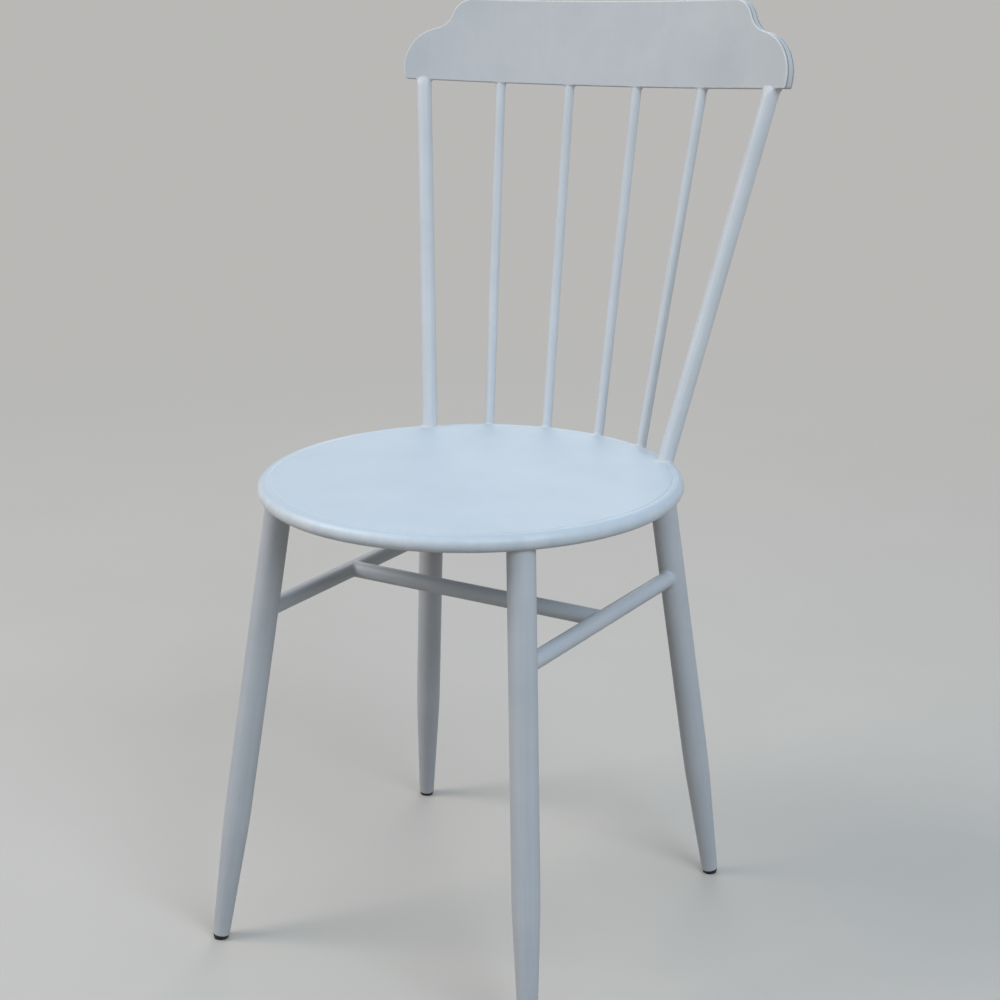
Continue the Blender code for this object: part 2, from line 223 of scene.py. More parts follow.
def showMix(tree, factor, first, second, outputName):
    mixed = tree.nodes.new("ShaderNodeMixShader")
    for i, socket in enumerate((factor, first.outputs[0], second.outputs[0])):
        tree.links.new(socket, mixed.inputs[i])
    tree.links.new(mixed.outputs[0], tree.nodes[outputName].inputs["Surface"])


# Satin paint, shared by every steel piece
paintNoise = {
    "cloud": {"scale": 11, "detail": 5, "roughness": 0.6, "fade": (0.35, 0.7)},
    "streak": {"stretch": (420, 420, 9), "detail": 3, "roughness": 0.6, "fade": (0.42, 0.75)},
    "fineStreak": {"stretch": (1500, 1500, 30), "detail": 2, "roughness": 0.5},
    "speck": {"scale": 260, "detail": 2, "roughness": 0.5, "fade": (0.7, 0.76)},
    "peel": {"scale": 900, "detail": 2, "roughness": 0.5},
    "rub_and_highlight": {"scale": 45, "detail": 4, "roughness": 0.6, "fade": (0.3, 0.65, 0.35, 1.0)},
}
paintShares = {
    "shadePatches": (0.55, 1.0),
    "cloudRoughness": 0.12,
    "rubRoughness": -0.08,
    "peelHeight": 0.5,
    "speckHeight": -0.6,
}


def makeBrushedPaint():
    # cloudy tone, brush streaks along local Z, specks, pale rubbed places that also serve as painted highlights,
    # and painted shade in the seams and joints
    tree, given, result = newGroup("brushedPaint", [
        ("Place", "NodeSocketVector", None),
        ("Paint", "NodeSocketColor", None),
        ("Deep Tone", "NodeSocketColor", None),
        ("Rubbed And Highlight Tone", "NodeSocketColor", None),
        ("Shade Tone", "NodeSocketColor", None),
        ("Cloud Amount", "NodeSocketFloat", 0.3),
        ("Streak Amount", "NodeSocketFloat", 0.3),
        ("Speck Amount", "NodeSocketFloat", 0.3),
        ("Rub_And_Highlight", "NodeSocketFloat", 0.0),
        ("Shade", "NodeSocketFloat", 0.0),
        ("Base Roughness", "NodeSocketFloat", 0.4),
    ], [
        ("Colour", "NodeSocketColor"),
        ("Roughness", "NodeSocketFloat"),
        ("Height", "NodeSocketFloat"),
    ])
    layers = {name: noiseLayer(tree, given["Place"], layer) for name, layer in paintNoise.items()}
    colour = given["Paint"]
    shares = {}
    for name in ("cloud", "streak", "speck"):
        shares[name] = mathNode(tree, "MULTIPLY", layers[name], given[f"{name.capitalize()} Amount"])
        colour = mixNode(tree, shares[name], colour, given["Deep Tone"])
    # painted highlight and painted shade: the rub input lightens worn edges and also places where light falls,
    # the shade input darkens seams and joints where shade falls, in patches that follow the cloud
    shares["rub_and_highlight"] = mathNode(tree, "MULTIPLY", given["Rub_And_Highlight"], layers["rub_and_highlight"])
    shadePatches = rangeNode(tree, layers["cloud"], 0, 1, *paintShares["shadePatches"])
    shares["shade"] = mathNode(tree, "MULTIPLY", given["Shade"], shadePatches)
    colour = mixNode(tree, shares["rub_and_highlight"], colour, given["Rubbed And Highlight Tone"])
    colour = mixNode(tree, shares["shade"], colour, given["Shade Tone"])
    roughness = addShare(tree, given["Base Roughness"], layers["cloud"], paintShares["cloudRoughness"])
    roughness = addShare(tree, roughness, shares["rub_and_highlight"], paintShares["rubRoughness"])
    height = mathNode(tree, "ADD", layers["streak"], layers["fineStreak"])
    height = mathNode(tree, "MULTIPLY", height, given["Streak Amount"])
    height = addShare(tree, height, layers["peel"], paintShares["peelHeight"])
    height = addShare(tree, height, shares["speck"], paintShares["speckHeight"])
    tree.links.new(colour, result["Colour"])
    tree.links.new(roughness, result["Roughness"])
    tree.links.new(height, result["Height"])
    return tree


# Black plastic of the glides
plasticNoise = {
    "scuff": {"stretch": (260, 260, 900), "detail": 4, "roughness": 0.65, "fade": (0.48, 0.72)},
    "mould": {"scale": 2600, "detail": 3, "roughness": 0.6},
}
plasticRoughness = (0.45, 0.75)  # from clean to scuffed


def makeMouldedPlastic():
    # fine moulded grain, with grey scuffs and dust
    tree, given, result = newGroup("mouldedPlastic", [
        ("Place", "NodeSocketVector", None),
        ("Plastic", "NodeSocketColor", None),
        ("Scuff Tone", "NodeSocketColor", None),
        ("Scuff Amount", "NodeSocketFloat", 0.4),
    ], [
        ("Colour", "NodeSocketColor"),
        ("Roughness", "NodeSocketFloat"),
        ("Height", "NodeSocketFloat"),
    ])
    layers = {name: noiseLayer(tree, given["Place"], layer) for name, layer in plasticNoise.items()}
    share = mathNode(tree, "MULTIPLY", layers["scuff"], given["Scuff Amount"])
    tree.links.new(mixNode(tree, share, given["Plastic"], given["Scuff Tone"]), result["Colour"])
    tree.links.new(rangeNode(tree, layers["scuff"], 0, 1, *plasticRoughness), result["Roughness"])
    tree.links.new(layers["mould"], result["Height"])
    return tree


brushedPaint = makeBrushedPaint()
mouldedPlastic = makeMouldedPlastic()


def attributeNode(tree, name):
    node = tree.nodes.new("ShaderNodeAttribute")
    node.attribute_name = name
    return node


def makeLook(name, group, groupValues, shaderValues, bumpValues, onNode=False):
    # onNode is for a CAD node, which has no "grain" of its own
    material, tree, shader = newMaterial(name)
    node = tree.nodes.new("ShaderNodeGroup")
    node.node_tree = group
    if onNode:
        place = tree.nodes.new("ShaderNodeTexCoord").outputs["Object"]
    else:
        place = attributeNode(tree, "grain").outputs["Vector"]
    tree.links.new(place, node.inputs["Place"])
    setInputs(node, groupValues)
    for socketName in ("Rub_And_Highlight", "Shade"):
        if socketName in node.inputs:
            attribute = attributeNode(tree, socketName.lower())
            tree.links.new(attribute.outputs["Fac"], node.inputs[socketName])
    bump = tree.nodes.new("ShaderNodeBump")
    setInputs(bump, bumpValues)
    tree.links.new(node.outputs["Height"], bump.inputs["Height"])
    tree.links.new(bump.outputs["Normal"], shader.inputs["Normal"])
    tree.links.new(node.outputs["Colour"], shader.inputs["Base Color"])
    tree.links.new(node.outputs["Roughness"], shader.inputs["Roughness"])
    setInputs(shader, shaderValues)
    return material


# the shade tone is the colour of painted shade; the warm pale rubbed tone is worn paint and painted highlight
paintTones = {
    "paint": (0.645, 0.665, 0.70),
    "deep": (0.47, 0.50, 0.52),
    "rubbedAndHighlight": (0.82, 0.82, 0.78),
    "shade": (0.13, 0.135, 0.14),
}
paintShader = {"Specular IOR Level": 0.4, "Coat Weight": 0.06, "Coat Roughness": 0.3}
paintBump = 0.6


def paintLook(name, cloud, streak, speck, roughness, depth, paint=None, rubbedAndHighlight=None, onNode=False):
    groupValues = {
        "Paint": (*(paint or paintTones["paint"]), 1),
        "Deep Tone": (*paintTones["deep"], 1),
        "Rubbed And Highlight Tone": (*(rubbedAndHighlight or paintTones["rubbedAndHighlight"]), 1),
        "Shade Tone": (*paintTones["shade"], 1),
        "Cloud Amount": cloud,
        "Streak Amount": streak,
        "Speck Amount": speck,
        "Base Roughness": roughness,
    }
    bumpValues = {"Strength": paintBump, "Distance": depth}
    return makeLook(name, brushedPaint, groupValues, paintShader, bumpValues, onNode)


# The chair has one paint. The copies below differ as painted light: the seat and rim are bluer, for the sky light
# that falls on them from above; the back posts and spindles are paler, for the light they catch; the legs and
# crest take their own near-neutral tones to match their lighting. The rim's paler rubbed tone is painted
# highlight as well as worn paint.
seatLook = paintLook(
    "satinPaintSeat", cloud=0.13, streak=0.04, speck=0.10, roughness=0.42, depth=0.00006,
    paint=(0.605, 0.675, 0.735),
)
rimLook = paintLook(
    "satinPaintRim", cloud=0.20, streak=0.05, speck=0.15, roughness=0.38, depth=0.00008,
    paint=(0.605, 0.675, 0.735), rubbedAndHighlight=(0.88, 0.90, 0.91),
)
legLook = paintLook(
    "satinPaintLegs", cloud=0.42, streak=0.22, speck=0.45, roughness=0.44, depth=0.00010,
    paint=(0.645, 0.65, 0.67),
)
stretcherLook = paintLook(
    "satinPaintStretchers", cloud=0.32, streak=0.22, speck=0.30, roughness=0.42, depth=0.00009,
)
backLook = paintLook(
    "satinPaintBack", cloud=0.30, streak=0.22, speck=0.20, roughness=0.38, depth=0.00008,
    paint=(0.735, 0.738, 0.745),
)
crestLook = paintLook(
    "satinPaintCrest", cloud=0.45, streak=0.06, speck=0.35, roughness=0.44, depth=0.00008,
    paint=(0.655, 0.645, 0.648),
)
underLook = paintLook(
    "satinPaintUnderSeat", cloud=0.60, streak=0.20, speck=0.60, roughness=0.50, depth=0.00012,
    onNode=True,
)
glideLook = makeLook(
    "blackMouldedPlastic", mouldedPlastic,
    {"Plastic": (0.012, 0.012, 0.013, 1), "Scuff Tone": (0.09, 0.085, 0.08, 1), "Scuff Amount": 0.5},
    {"Specular IOR Level": 0.4, "Coat Weight": 0.0, "Coat Roughness": 0.3},
    {"Strength": 0.5, "Distance": 0.00005},
)
print("looks made")

# Seat: a sheet let into a hoop of tube, in metres
seat = {
    "top": 0.450,
    "hoopRadius": 0.192,
    "tubeRadius": 0.008,
    "sheetThickness": 0.0015,
    "sheetEdge": 0.1893,
    "sheetRings": (0.25, 0.5, 0.75, 0.9, 0.97),  # shares of the edge's radius
    "edgeRounding": 0.0009,
    "edgeFall": ((0.0030, 0.0), (0.0012, 0.12)),  # in from the edge, and down as a share of the seam's depth
    "edgeDrop": 0.3,
    "underRings": (0.0004, 0.01),  # in from the edge
    "seamWidth": 0.0011,
    "seamDepth": 0.0008,
    "seamShade": 0.5,
    "shadeFrom": 0.0002,
    "edgeRubAndHighlight": 0.25,
    "rubWidth": 0.002,
    "rubAbove": 0.0003,
    "steps": 256,
    "tubeSteps": 40,
}
# pale rub round the hoop's outer side, which also serves as painted highlight on its lit side
hoopWearAndHighlight = {
    "amount": 0.7,
    "swing": 0.25,
    "towards": math.radians(-165),
    "from": 0.45,  # shares of the tube's radius, outwards from its middle
    "full": 0.9,
}
seatMiddle = seat["top"] - seat["tubeRadius"]


def makeSeatSheet():
    edge = seat["sheetEdge"]
    top = seat["top"]
    low = top - seat["sheetThickness"]
    seam = seat["seamDepth"]
    rounding = seat["edgeRounding"]
    profile = [(0, top)] + [(edge * share, top) for share in seat["sheetRings"]]
    profile += [(edge - inset, top - seam * drop) for inset, drop in seat["edgeFall"]]
    profile += arcPoints(edge - rounding, top - seam * seat["edgeDrop"] - rounding, rounding, 80, 0, 20)
    profile += [(edge - inset, low) for inset in seat["underRings"]] + [(edge / 2, low), (0, low)]
    rub_and_highlight = []
    shade = []
    for radius, height in profile:
        # the sheet's rounded edge is made pale, as rubbed paint and as painted highlight on its lip; the seam
        # below it is darkened as painted shade
        onEdge = edge - seat["rubWidth"] < radius and height > low + seat["rubAbove"]
        rub_and_highlight.append(seat["edgeRubAndHighlight"] if onEdge else 0.0)
        inSeam = edge - seat["seamWidth"] < radius
        shade.append(clamp((top - seat["shadeFrom"] - height) / seam) * seat["seamShade"] if inSeam else 0.0)
    steps = seat["steps"]
    verts, faces = turnedMesh(profile, steps)
    rub_and_highlight = ringValues(profile, steps, rub_and_highlight)
    shade = ringValues(profile, steps, shade)
    addPiece("seatSheet", verts, faces, Matrix(), seatLook, ["seat_top_sheet"], rub_and_highlight, shade)


def makeRimHoop():
    steps = seat["steps"]
    circle = arcPoints(seat["hoopRadius"], seatMiddle, seat["tubeRadius"], 0, 360, 360 / seat["tubeSteps"])[:-1]
    verts, faces = turnedMesh(circle, steps, closed=True)
    # the hoop's outer side is painted pale, partly as worn paint and partly as painted highlight, on one side of
    # the seat, towards the key light, more than on the other
    wear = []
    for j in range(steps):
        turn = 2 * math.pi * j / steps
        wear.append(hoopWearAndHighlight["amount"] + hoopWearAndHighlight["swing"] * math.cos(turn - hoopWearAndHighlight["towards"]))
    rub_and_highlight = []
    for radius, _ in circle:
        outward = (radius - seat["hoopRadius"]) / seat["tubeRadius"]
        band = clamp((outward - hoopWearAndHighlight["from"]) / (hoopWearAndHighlight["full"] - hoopWearAndHighlight["from"]))
        rub_and_highlight += [band * worn for worn in wear]
    addPiece("seatRimHoop", verts, faces, Matrix(), rimLook, ["seat_rim_hoop"], rub_and_highlight)


makeSeatSheet()
makeRimHoop()
for braceName in ("seat_brace_front", "seat_brace_rear"):
    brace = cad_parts[braceName]
    brace.data.materials.clear()
    brace.data.materials.append(underLook)
print("seat made")


# Distances to the surfaces that tubes are welded to, for ends that follow those surfaces

def toSeatPuck(p):
    return math.hypot(max(math.hypot(p.x, p.y) - seat["hoopRadius"], 0), p.z - seatMiddle) - seat["tubeRadius"]


def toSeatUnderside(p):
    fromHoop = math.hypot(math.hypot(p.x, p.y) - seat["hoopRadius"], p.z - seatMiddle) - seat["tubeRadius"]
    return min(fromHoop, seat["top"] - seat["sheetThickness"] - p.z)


def toTube(start, end, radius):
    along = (end - start).normalized()

    def distance(p):
        away = p - start
        return (away - along * away.dot(along)).length - radius
    return distance


def axisFrame(start, end):
    along = (end - start).normalized()
    return Matrix.Translation(start) @ along.to_track_quat("Z", "Y").to_matrix().to_4x4()


# Welded ends of tubes, in metres
weld = {
    "tries": 200,
    "touching": 2e-6,  # a traced point this close has met the neighbour
    "missing": 1e-5,
    "softening": 16,  # the part of a turn over which a fillet gives way to a rounding
    "inwardLimit": 0.9,  # a share of the tube's radius
    "leastReach": 1e-6,
    "proud": 0.0003,
    "sunk": 0.0006,
    "rings": 7,
    "plainGap": 0.001,
    "plainRings": 10,
    "steps": 48,
    "rub_and_highlight": 0.12,
    "shade": 0.35,
    "shadeFrom": 0.5,
    "sharp": 50,
}


def travel(start, direction, distanceTo, longest):
    # how far a point goes in this direction before it meets the surface
    gone = 0.0
    for _ in range(weld["tries"]):
        if gone >= longest:
            return longest
        step = distanceTo(start + direction * gone)
        if step < weld["touching"]:
            return gone
        gone += step
    return min(gone, longest)


def joint(distanceTo, fillet, rounding=0.0, slope=0.0, stub=0.0):
    # what a tube's end meets, and how: the rounding is for where it meets nothing
    return {"distanceTo": distanceTo, "fillet": fillet, "rounding": rounding, "slope": slope, "stub": stub}


def missedShares(starts, direction, distanceTo, longest):
    # 1 where a line along the wall misses the neighbour, softened round the tube
    steps = len(starts)
    missed = []
    for start in starts:
        gone = travel(start, direction, distanceTo, longest)
        missed.append(1.0 if gone >= longest - weld["missing"] else 0.0)
    spread = max(1, steps // weld["softening"])
    nearby = range(-spread, spread + 1)
    return [sum(missed[(j + k) % steps] for k in nearby) / len(nearby) for j in range(steps)]


def inwardReaches(starts, spokes, distanceTo, radius):
    # where the tube runs on past a face, how far in its wall has to slope until it meets that face
    reaches = [travel(start, -spoke, distanceTo, radius) for start, spoke in zip(starts, spokes)]
    return [reach if reach < radius * weld["inwardLimit"] else 0.0 for reach in reaches]


def weldedEnd(place, middle, goal, radius, steps, meets):
    # rings of local points from the plain wall to the welded end, each following the neighbour's surface
    distanceTo, fillet, rounding = meets["distanceTo"], meets["fillet"], meets["rounding"]
    inverse = place.inverted()
    turned = place.to_3x3()
    origin = place @ Vector((0, 0, middle))
    direction = (turned @ Vector((0, 0, 1 if goal > middle else -1))).normalized()
    longest = abs(goal - middle)
    spokes = [turned @ spoke for spoke in circlePoints(1, 0, steps)]
    starts = [origin + spoke * (radius + fillet / 2) for spoke in spokes]
    misses = missedShares(starts, direction, distanceTo, longest)
    starts = [origin + spoke * radius + direction * longest for spoke in spokes]
    reaches = inwardReaches(starts, spokes, distanceTo, radius)
    furthest = max(reaches + [weld["leastReach"]])
    made = []
    for k in range(weld["rings"] + 1):
        ease = k / weld["rings"]
        angle = math.pi / 2 * (1 - ease)
        grow = 1 - math.sin(angle)
        rise = 1 - math.cos(angle)
        ring = []
        for spoke, miss, reach in zip(spokes, misses, reaches):
            if meets["slope"] and reach > 0:
                out = radius - (reach + weld["proud"]) * ease * ease * (3 - 2 * ease)
                gone = longest
                gap = meets["slope"] * (1 - ease) + meets["stub"] * (1 - reach / furthest)
            else:
                out = radius + fillet * grow * (1 - miss) - rounding * grow * miss
                gone = travel(origin + spoke * out, direction, distanceTo, longest)
                gap = (fillet * (1 - miss) + rounding * miss) * rise
            ring.append(inverse @ (origin + spoke * out + direction * (gone - gap)))
        made.append((ring, grow))
    sunk = [inverse @ (place @ point + direction * weld["sunk"]) for point in made[-1][0]]
    made.append((sunk, 1.0))
    return made


def makeTube(name, start, end, radius, low, high, look, stands):
    # low and high are the joints at its two ends
    place = axisFrame(start, end)
    length = (end - start).length
    steps = weld["steps"]
    lowRings = weldedEnd(place, length / 2, 0, radius, steps, low)
    highRings = weldedEnd(place, length / 2, length, radius, steps, high)
    first = max(p.z for p in lowRings[0][0]) + weld["plainGap"]
    last = min(p.z for p in highRings[0][0]) - weld["plainGap"]
    rings = list(reversed(lowRings))
    for i in range(weld["plainRings"] + 1):
        height = first + (last - first) * i / weld["plainRings"]
        rings.append((circlePoints(radius, height, steps), 0.0))
    rings += highRings
    verts = [point for ring, _ in rings for point in ring]
    faces = [tuple(range(steps)), tuple(range((len(rings) - 1) * steps, len(rings) * steps))]
    for i in range(len(rings) - 1):
        faces += ringFaces(i * steps, (i + 1) * steps, steps)
    # towards each welded end the paint is made paler, as rubbed paint and as painted highlight, and darker where
    # the tube meets its neighbour, as painted shade
    rub_and_highlight = [grow * weld["rub_and_highlight"] for _, grow in rings for _ in range(steps)]
    shade = [weld["shade"] * max(0, grow - weld["shadeFrom"]) for _, grow in rings for _ in range(steps)]
    addPiece(name, verts, faces, place, look, stands, rub_and_highlight, shade, weld["sharp"])


# Legs and their glides, in metres and degrees
leg = {
    "radius": 0.0127,
    "footRadius": 0.0081,
    "wall": 0.0012,
    "taper": 0.128,
    "turnLow": 0.012,  # the taper ends this far below its top, at this share of its growth
    "turnShare": 0.93,
    "turnMiddle": (0.9935, 0.003),
    "turnHigh": 0.018,
    "boreRings": (0.010, 0.0004),
    "endRounding": 0.0011,
    "fillet": 0.0012,
    "weldFrom": 0.8,
    "rings": 8,
    "steps": 64,
    "footRub": 0.5,
    "footRubRise": 1.2,
    "topRub": 0.25,
    "sharp": 50,
    "frontInset": 0.0112,
    "frontAngle": 46.0,
    "frontSplay": (0.0443, -0.0630),
    "rearInset": 0.0047,
    "rearAngle": 44.8,
    "rearSplay": (0.0466, 0.0454),
}
glide = {
    "showing": 0.0040,
    "flangeInset": 0.0006,
    "flangeTaper": 0.0012,
    "flangeBulge": (0.0001, 0.5),  # inset, and share of the height
    "flangeShape": ((0.45, 0.22), (1, 0), (1.3, -1)),  # shares of the taper and of the height
    "gap": 0.0003,
    "rounding": 0.0006,
    "stemLength": 0.016,
    "stemBevel": 0.0015,
    "stemRings": (0.7, 0.4, 0.1, 0.0),
    "steps": 48,
    "sharp": 35,
}
sides = {"right": -1, "left": 1}


def legEnds(end, side):
    radius = seat["hoopRadius"] - leg[f"{end}Inset"]
    angle = math.radians(leg[f"{end}Angle"])
    facing = -1 if end == "front" else 1
    height = seatMiddle - seat["tubeRadius"]
    top = Vector((side * radius * math.sin(angle), facing * radius * math.cos(angle), height))
    out, along = leg[f"{end}Splay"]
    return Vector((top.x + side * out, top.y + along, 0)), top


def makeLeg(name, foot, top, node):
    place = axisFrame(foot, top)
    steps = leg["steps"]
    length = (top - foot).length
    tip = length + (seat["top"] - seat["sheetThickness"] - top.z) * length / top.z
    meets = joint(toSeatUnderside, leg["fillet"])
    topRings = weldedEnd(place, length * leg["weldFrom"], tip, leg["radius"], steps, meets)
    low = glide["showing"]
    rounding = leg["endRounding"]
    bore = leg["footRadius"] - leg["wall"]
    profile = [(bore, low + depth) for depth in leg["boreRings"]]
    profile += arcPoints(leg["footRadius"] - rounding, low + rounding, rounding, -90, 0, 15)
    # a soft turn where the taper meets the plain tube
    shares = [i / leg["rings"] for i in range(1, leg["rings"] + 1)]
    rise = leg["taper"] - low - rounding - leg["turnLow"]
    growth = leg["radius"] - leg["footRadius"]
    for share in shares:
        profile.append((leg["footRadius"] + growth * share * leg["turnShare"], low + rounding + rise * share))
    turnGrowth, turnRise = leg["turnMiddle"]
    plain = leg["taper"] + leg["turnHigh"]
    last = min(p.z for p in topRings[0][0]) - weld["plainGap"]
    profile += [(leg["radius"] * turnGrowth, leg["taper"] + turnRise), (leg["radius"], plain)]
    profile += [(leg["radius"], plain + (last - plain) * share) for share in shares]
    verts, faces = turnedMesh(profile, steps)
    footEnd = low + rounding * leg["footRubRise"]
    rub_and_highlight = ringValues(profile, steps, [leg["footRub"] if height < footEnd else 0.0 for _, height in profile])
    base = len(verts) - steps
    for ring, grow in topRings:
        faces += ringFaces(base, len(verts), steps)
        base = len(verts)
        verts += ring
        rub_and_highlight += [grow * leg["topRub"]] * steps
    faces.append(tuple(range(base, base + steps)))
    addPiece(name, verts, faces, place, legLook, [node], rub_and_highlight, sharp=leg["sharp"])


def makeGlide(name, foot, top, node):
    place = axisFrame(foot, top)
    flange = leg["footRadius"] - glide["flangeInset"]
    stem = leg["footRadius"] - leg["wall"] - glide["gap"]
    upper = glide["showing"] - glide["gap"]
    tip = glide["showing"] + glide["stemLength"]
    bevel = glide["stemBevel"]
    rounding = glide["rounding"]
    bulge, bulgeHeight = glide["flangeBulge"]
    profile = [(0, tip), (stem - bevel, tip), (stem, tip - bevel)]
    profile += [(stem, upper + (tip - upper) * share) for share in glide["stemRings"]]
    profile += arcPoints(flange - rounding, upper - rounding, rounding, 90, 0, 15)
    profile.append((flange - bulge, upper * bulgeHeight))
    profile += [(flange - glide["flangeTaper"] * inset, upper * height) for inset, height in glide["flangeShape"]]
    profile.append((0, -upper))
    verts, faces = turnedMesh(profile, glide["steps"])
    # the glide stands flat on the floor, though its axis leans with the leg
    shape = bmesh.new()
    made = [shape.verts.new(place @ v) for v in verts]
    for face in faces:
        shape.faces.new([made[i] for i in face])
    bmesh.ops.recalc_face_normals(shape, faces=shape.faces[:])
    cut = cutShape(shape, (0, 0, 0), (0, 0, -1), clear_outer=True)
    edges = [item for item in cut["geom_cut"] if isinstance(item, bmesh.types.BMEdge)]
    bmesh.ops.edgeloop_fill(shape, edges=edges)
    verts, faces = takeMesh(shape)
    inverse = place.inverted()
    verts = [inverse @ v for v in verts]
    addPiece(name, verts, faces, place, glideLook, [node], sharp=glide["sharp"])


legAxes = {}
for end in ("front", "rear"):
    for sideName, side in sides.items():
        foot, top = legEnds(end, side)
        legAxes[end, sideName] = (foot, top)
        label = end.capitalize() + sideName.capitalize()
        makeLeg(f"leg{label}", foot, top, f"leg_{end}_{sideName}")
        makeGlide(f"glide{label}", foot, top, f"foot_glide_{end}_{sideName}")
print("legs and glides made")

# Stretchers: an H of tube welded between the legs
stretcher = {
    "radius": 0.008,
    "height": 0.3305,
    "crossShare": 0.497,
    "legFillet": 0.0028,
    "crossFillet": 0.0028,
}


def makeStretchers():
    radius = stretcher["radius"]
    middles = []
    walls = []
    for sideName in sides:
        points = []
        meets = []
        for end in ("front", "rear"):
            foot, top = legAxes[end, sideName]
            points.append(foot + (top - foot) * (stretcher["height"] / top.z))
            meets.append(joint(toTube(foot, top, leg["radius"]), stretcher["legFillet"]))
        label = f"sideStretcher{sideName.capitalize()}"
        makeTube(label, *points, radius, *meets, stretcherLook, [f"side_stretcher_{sideName}"])
        middles.append(points[0] + (points[1] - points[0]) * stretcher["crossShare"])
        walls.append(toTube(*points, radius))
    meets = [joint(wall, stretcher["crossFillet"]) for wall in walls]
    makeTube("crossStretcher", *middles, radius, *meets, stretcherLook, ["cross_stretcher"])


makeStretchers()
print("stretchers made")

# Crest: two bent sheets with a band between them, in metres
crest = {
    "base": Vector((0, 0.2537, 0.793)),
    "lean": math.radians(7.15),
    "bendRadius": 0.617,
    "halfLength": 0.2205,
    "height": 0.0825,
    "thickness": 0.011,
    "sheet": 0.0015,
    "seam": 0.0003,
    "seamReach": 0.003,
    "lobeRadius": 0.041,
    "lobeDrop": 0.0705,
    "coveRadius": 0.025,
    "shoulderRadius": 0.0225,
    "topHalfLength": 0.149,
    "cornerRadius": 0.002,
    "outerRounding": 0.0011,
    "faceMargin": 0.0004,
    "edgeSteps": 4,
    "sheetSeamRounding": 0.0004,
    "bandFrontRounding": 0.0018,
    "bandRearRounding": 0.0005,
    "bandInset": 0.0005,
    "bandWall": 0.0015,
    "strip": 0.008,
    "sharp": 30,
}
# the crest's rounded edges are lightened as painted highlight and worn paint, its seams darkened as painted shade
crestWearAndPaintedLight = {
    "sheetRubAndHighlight": 0.6,
    "bandRubAndHighlight": 0.5,
    # rub with painted highlight, and painted shade, from a sheet's edge into its seam
    "frontSeam": ((0.1, 0.1), (0.0, 0.35), (0.0, 0.9)),
    "rearSeam": ((0.1, 0.0), (0.0, 0.1), (0.0, 0.6)),
    # in from the band's edge and along its depth, as shares of its rounding, then rub with painted highlight, and
    # painted shade
    "bandFront": ((0.5, 0, 0.0, 1.0), (0.2, 0.3, 0.0, 0.95), (0, 0.8, 0.1, 0.5), (0, 1.4, 0.4, 0.0)),
    "bandRear": ((0, 1, 0.2, 0.0), (0.3, 0.3, 0.1, 0.0), (1, 0, 0.0, 0.1)),
    "bandMiddle": (0.001, 0.1, 0.0),  # depth, rub with painted highlight, and painted shade
    "bandInside": (0.0, 0.9),
}


def crestPoint(along, up, back):
    turn = along / crest["bendRadius"]
    radius = crest["bendRadius"] + back
    return Vector((radius * math.sin(turn), radius * math.cos(turn) - crest["bendRadius"], up))


crestPlace = Matrix.Translation(crest["base"]) @ Matrix.Rotation(-crest["lean"], 4, "X")
crestInverse = crestPlace.inverted()


def toCrest(p):
    local = crestInverse @ p
    deep = abs(math.hypot(local.x, local.y + crest["bendRadius"]) - crest["bendRadius"]) - crest["thickness"] / 2
    below = -local.z
    return math.hypot(max(deep, 0), max(below, 0)) + min(max(deep, below), 0)


def crestOutline(inset):
    # half of the outline is a corner, a lobe, a cove and a shoulder, each an arc that runs into the next
    lobe = crest["lobeRadius"] - inset
    cove = crest["coveRadius"] + inset
    shoulder = crest["shoulderRadius"] - inset
    lobeX = crest["halfLength"] - crest["lobeRadius"]
    lobeY = crest["height"] - crest["lobeDrop"]
    shoulderX = crest["topHalfLength"]
    shoulderY = crest["height"] - crest["shoulderRadius"]
    toLobe = crest["lobeRadius"] + crest["coveRadius"]
    toShoulder = crest["shoulderRadius"] + crest["coveRadius"]
    between = math.hypot(shoulderX - lobeX, shoulderY - lobeY)
    near = (toLobe ** 2 - toShoulder ** 2 + between ** 2) / (2 * between)
    away = math.sqrt(toLobe ** 2 - near ** 2)
    stepX = (shoulderX - lobeX) / between
    stepY = (shoulderY - lobeY) / between
    coveX = lobeX + near * stepX + away * stepY
    coveY = lobeY + near * stepY - away * stepX
    lobeEnd = math.degrees(math.atan2(coveY - lobeY, coveX - lobeX))
    coveEnd = math.degrees(math.atan2(shoulderY - coveY, shoulderX - coveX)) % 360
    corner = crest["cornerRadius"]
    lobeStart = -math.degrees(math.asin((lobeY - corner) / crest["lobeRadius"]))
    cornerX = lobeX + lobe * math.cos(math.radians(lobeStart))
    half = [(0, inset)]
    half += arcPoints(cornerX - corner, inset + corner, corner, -90, -15, 15)
    half += arcPoints(lobeX, lobeY, lobe, lobeStart + 2, lobeEnd)
    half += arcPoints(coveX, coveY, cove, lobeEnd + 180, coveEnd)[1:]
    half += arcPoints(shoulderX, shoulderY, shoulder, coveEnd - 180, 90)[1:]
    half.append((0, crest["height"] - inset))
    return half + [(-x, y) for x, y in reversed(half[1:-1])]


